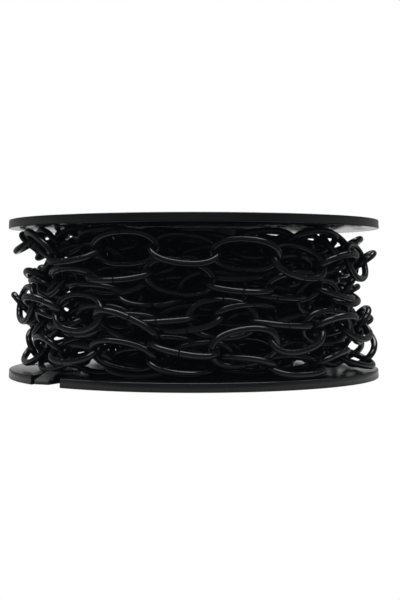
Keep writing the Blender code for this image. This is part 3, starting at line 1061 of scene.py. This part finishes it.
deep_chain = []
around = chain_points
for winding in DEEP_WINDINGS:
    winding_settled = deep_settled(winding, around)
    deep_chain += link_places(*winding_settled)
    around = np.concatenate([around, coarse_points(*link_frames(*winding_settled)[:3])])
deep_form = link_form(DEEP_RINGS, DEEP_SIDES)
deep_mesh = joined_links("inner_links", deep_chain, deep_form, STRANDS * LINKS_PER_STRAND)
finish_piece("inner_links", deep_mesh, coating, ["inner_chain"])
print("laid", len(deep_chain), "links beneath")

# %% [markdown]
# The product stands on a plain white card, lit softly from above. The card is matte, so it throws the
# light back up, and it is also given a painted glow, as if lit from beneath like a light table. The
# glow is nothing under the reel and fades in from its rim to a little further out, a painted shadow
# of the reel. That draws the second line of light along the lower side of each wire. Straight into
# the camera both the card and the room are pure white, so that no horizon shows.

# %% Floor
FLOOR_SIZE = 0.3
FLOOR_GLOW = 0.12
GLOW_FROM = 0.117
GLOW_FULL = 0.15
WHITE_TO_CAMERA = 1.0
FIBRE_SIZE = 2.5 * MM


def white_to_camera(tree, lit, kind, output):
    white = add_node(tree, kind, values={"Color": (1, 1, 1, 1), "Strength": WHITE_TO_CAMERA})
    to_camera = add_node(tree, "LightPath").outputs["Is Camera Ray"]
    mixed = add_node(tree, "MixShader", links={"Fac": to_camera, 1: lit, 2: white})
    add_node(tree, output, links={"Surface": mixed})


def white_card():
    # Gives a soft white without gloss, mottled by the fibres, with a painted glow that is dark at the reel's
    # rim, a painted shadow.
    material, tree = empty_material("matte_white_card")
    place = add_node(tree, "TexCoord").outputs["Object"]
    fibre = {"Scale": 1 / FIBRE_SIZE, "Detail": 3}
    fibres = add_node(tree, "TexNoise", values=fibre, links={"Vector": place})
    tones = ((0.3, linear("#acacad")), (0.7, linear("#b6b6b6")))
    tone = add_node(tree, "ValToRGB", links={"Fac": fibres}, stops=tones)
    matte = add_node(tree, "BsdfDiffuse", links={"Color": tone})
    # Painted glow: none under the reel, rising from its rim to FLOOR_GLOW at GLOW_FULL, a painted shadow of
    # the reel.
    out = add_node(tree, "VectorMath", {"operation": "LENGTH"}, links={0: place}).outputs["Value"]
    painted_glow_ramp = dict(zip(RANGE, (GLOW_FROM, GLOW_FULL, 0, FLOOR_GLOW)))
    strength = add_node(tree, "MapRange", values=painted_glow_ramp, links={"Value": out})
    glow = add_node(tree, "Emission", links={"Strength": strength})
    lit = add_node(tree, "AddShader", links={0: matte, 1: glow})
    white_to_camera(tree, lit, "Emission", "OutputMaterial")
    return material


half = FLOOR_SIZE / 2
corners = [(-half, -half, 0), (half, -half, 0), (half, half, 0), (-half, half, 0)]
floor_mesh = bpy.data.meshes.new("floor")
floor_mesh.from_pydata(corners, [], [(0, 1, 2, 3)])
floor_mesh.materials.append(white_card())
floor = into_scene("floor", floor_mesh)
print("floor", FLOOR_SIZE, "m across")

# %% [markdown]
# Glossy black shows mostly what it mirrors. Straight behind the reel hangs a lit white backdrop that
# runs out over the table. The inner faces of the plates mirror it at a glancing angle, which is why
# they look pale at both ends. Its edges are given by how much of a direction points backwards, its
# top and bottom by how much of it points up, each as the two values that it fades between.

# %% The backdrop
BACKDROP_LIGHT = 0.6
BACKDROP_EDGES = (0.972, 0.987)
BACKDROP_TOP = (0.05, 0.12)
BACKDROP_BOTTOM = (-0.5, -0.3)


def backdrop_light(tree, direction, upward):
    options = {"operation": "MULTIPLY"}
    level = add_node(tree, "VectorMath", options, values={1: (1, 1, 0)}, links={0: direction})
    heading = add_node(tree, "VectorMath", {"operation": "NORMALIZE"}, links={0: level})
    backward = add_node(tree, "SeparateXYZ", links={"Vector": heading}).outputs["Y"]
    wide, above, below = (
        add_node(tree, "MapRange", values=dict(zip(RANGE, limits)), links={"Value": source})
        for source, limits in (
            (backward, (*BACKDROP_EDGES, 0, BACKDROP_LIGHT)),
            (upward, (*BACKDROP_TOP, 1, 0)),
            (upward, (*BACKDROP_BOTTOM, 0, 1)),
        )
    )
    high = add_node(tree, "Math", options, links={0: above, 1: below})
    return add_node(tree, "Math", options, links={0: wide, 1: high})


print("backdrop light:", BACKDROP_LIGHT)

# %% [markdown]
# The rest of the room is a dim band of wall at eye level. Both of its lists go from behind the
# camera at 0 to straight behind the reel at 1: the light of the wall there, and how much of that is
# left well above and below eye level. The second is high at both ends, so that the reel's back also
# has something to mirror.

# %% The walls
WALL_LIGHT = ((0.0, 0.16), (0.12, 0.1), (0.32, 0.2), (0.6, 0.24), (1.0, 0.2))
BEYOND_BAND = ((0.1, 0.7), (0.35, 0.15), (0.75, 0.2), (0.97, 0.6))
BAND_FADES_FROM = 0.06
BAND_FADES_TO = 0.35


def wall_light(tree, backward, upward):
    values = dict(zip(RANGE, (-1, 1, 0, 1)))
    depth = add_node(tree, "MapRange", values=values, links={"Value": backward})
    walls, beyond = (
        add_node(tree, "ValToRGB", links={"Fac": depth}, stops=[(at, (v, v, v, 1)) for at, v in lights])
        for lights in (WALL_LIGHT, BEYOND_BAND)
    )
    slope = add_node(tree, "Math", {"operation": "ABSOLUTE"}, links={0: upward})
    values = dict(zip(RANGE, (BAND_FADES_FROM, BAND_FADES_TO, 1)))
    band = add_node(tree, "MapRange", values=values, links={"Value": slope, "To Max": beyond})
    return add_node(tree, "Math", {"operation": "MULTIPLY"}, links={0: walls, 1: band})


print("brightest wall:", max(light for position, light in WALL_LIGHT))

# %% [markdown]
# Both lights are added up to the world around the reel. The camera itself sees white.

# %% The room
def room():
    world = bpy.data.worlds.new("white_studio")
    bpy.context.scene.world = world
    world.use_nodes = True
    tree = world.node_tree
    tree.nodes.clear()
    direction = add_node(tree, "TexCoord").outputs["Generated"]
    parts = add_node(tree, "SeparateXYZ", links={"Vector": direction})
    walls = wall_light(tree, parts.outputs["Y"], parts.outputs["Z"])
    backdrop = backdrop_light(tree, direction, parts.outputs["Z"])
    whole = add_node(tree, "Math", {"operation": "ADD"}, links={0: walls, 1: backdrop})
    lit = add_node(tree, "Background", values={"Color": (1, 1, 1, 1)}, links={"Strength": whole})
    white_to_camera(tree, lit, "Background", "OutputWorld")
    return world


print("room:", room().name)

# %% [markdown]
# One long soft box hangs overhead, a little towards the camera, so that the front of the chain sees
# it past the upper plate. How far it reaches towards the camera sets how wide the line of light on
# a wire is, and its power how bright. A second box behind it, hidden from the chain's front by the
# upper plate, lights the reel's back and top. Each has its width, its depth and its place towards
# the back in metres, and its brightness.

# %% The soft boxes
SOFT_BOX_HEIGHT = 0.8
SOFT_BOXES = {"front_soft_box": (1.3, 0.36, -0.35, 4.8), "rear_soft_box": (1.3, 0.5, 0.42, 5.0)}

for name, (width, depth, place, brightness) in SOFT_BOXES.items():
    lamp = bpy.data.lights.new(name, "AREA")
    lamp.shape = "RECTANGLE"
    lamp.size = width
    lamp.size_y = depth
    lamp.energy = math.pi * width * depth * brightness
    into_scene(name, lamp).location = (0, place, SOFT_BOX_HEIGHT)
    print(name, "of", round(lamp.energy, 1), "W")

# %% [markdown]
# The photograph was taken level, from a little above half the reel's height and about three
# quarters of a metre away, which shows in how much the plates' rims bow. The small shift only sets
# where the reel sits in the frame.

# %% Camera
CAMERA_DISTANCE = 757.3 * MM
CAMERA_HEIGHT = 64.0 * MM
LENS = 70.68
SENSOR_WIDTH = 36.0
SHIFT_X = 0.0104
SHIFT_Y = -0.0412
NEAREST_SEEN = 0.01

camera_data = bpy.data.cameras.new("camera")
camera_data.lens = LENS
camera_data.sensor_width = SENSOR_WIDTH
camera_data.shift_x = SHIFT_X
camera_data.shift_y = SHIFT_Y
camera_data.clip_start = NEAREST_SEEN
camera = into_scene("camera", camera_data)
camera.location = (0, -CAMERA_DISTANCE, CAMERA_HEIGHT)
camera.rotation_euler = (math.pi / 2, 0, 0)
bpy.context.scene.camera = camera
print("camera", CAMERA_DISTANCE, "m away with a", LENS, "mm lens")

# %% [markdown]
# The photograph's background is pure white, and its darkest gaps are not quite black. Blender's
# usual view transform turns white to grey and frays the dark edges before it. The standard one keeps
# them clean. A lens always scatters a little light from a white background over the whole picture,
# slightly bluish here, and a black level just under zero adds that veil.

# %% How the picture is developed
LENS_VEIL = (0.0015, 0.0019, 0.0024)

view = bpy.context.scene.view_settings
view.view_transform = "Standard"
view.use_curve_mapping = True
view.curve_mapping.black_level = [-share for share in LENS_VEIL]
view.curve_mapping.update()
print("view transform:", view.view_transform)
